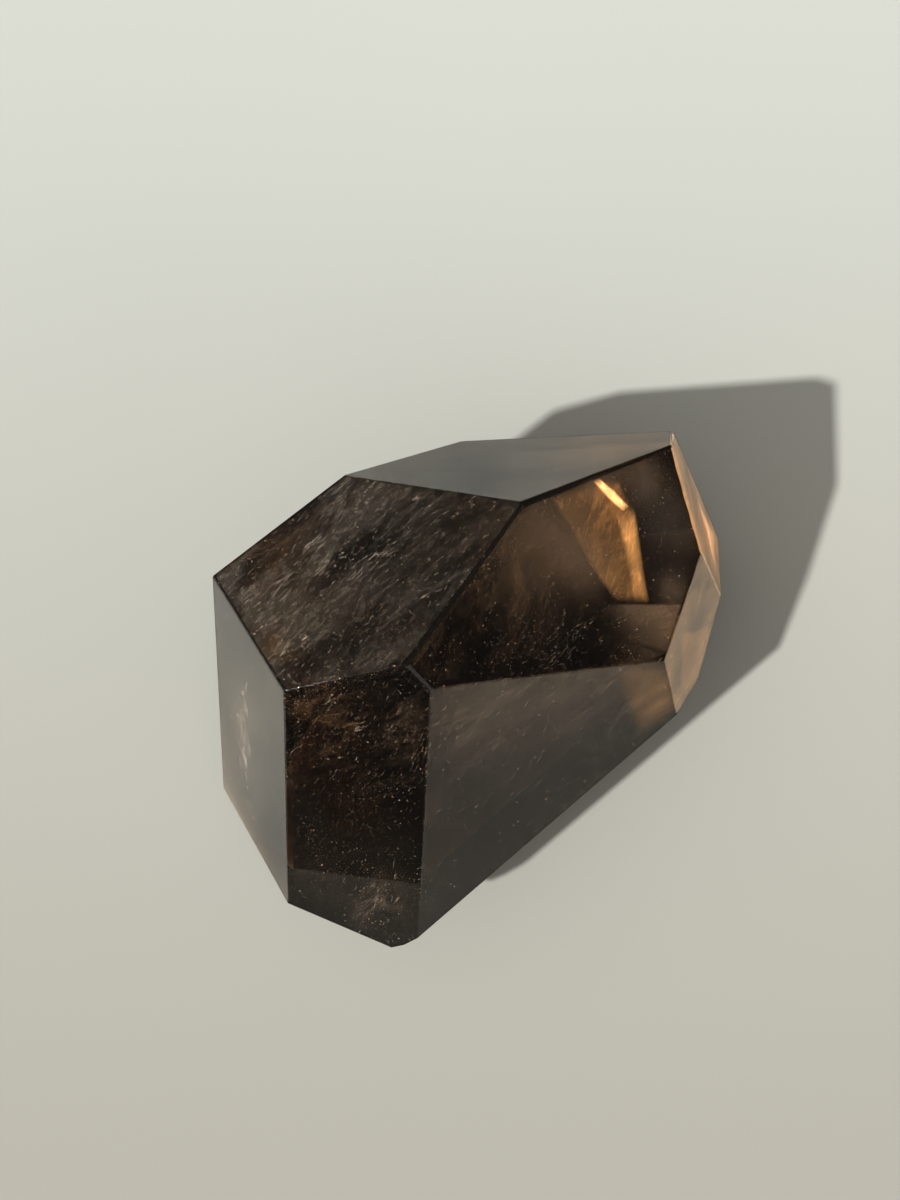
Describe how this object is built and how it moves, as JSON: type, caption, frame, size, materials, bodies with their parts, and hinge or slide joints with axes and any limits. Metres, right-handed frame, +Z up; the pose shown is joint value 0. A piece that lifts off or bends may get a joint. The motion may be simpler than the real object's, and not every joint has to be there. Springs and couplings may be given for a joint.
{
  "type": "smoky quartz freeform",
  "caption": "Upright lump of see-through smoky quartz, ground to flat polished facets with narrow bevels, standing on a flat base facet.",
  "frame": {"origin": "middle of the outer box at the level of the base facet", "axes": "+Z up from the base facet, +X towards the narrow right-hand end, -Y towards the toe at the front"},
  "size_m": [0.099, 0.0928, 0.079],
  "materials": {
    "smoky_quartz": "polished, see-through dark smoky brown with pale wisps inside"
  },
  "bodies": {
    "root": {"stone": "smoky_quartz"}
  },
  "joints": []
}
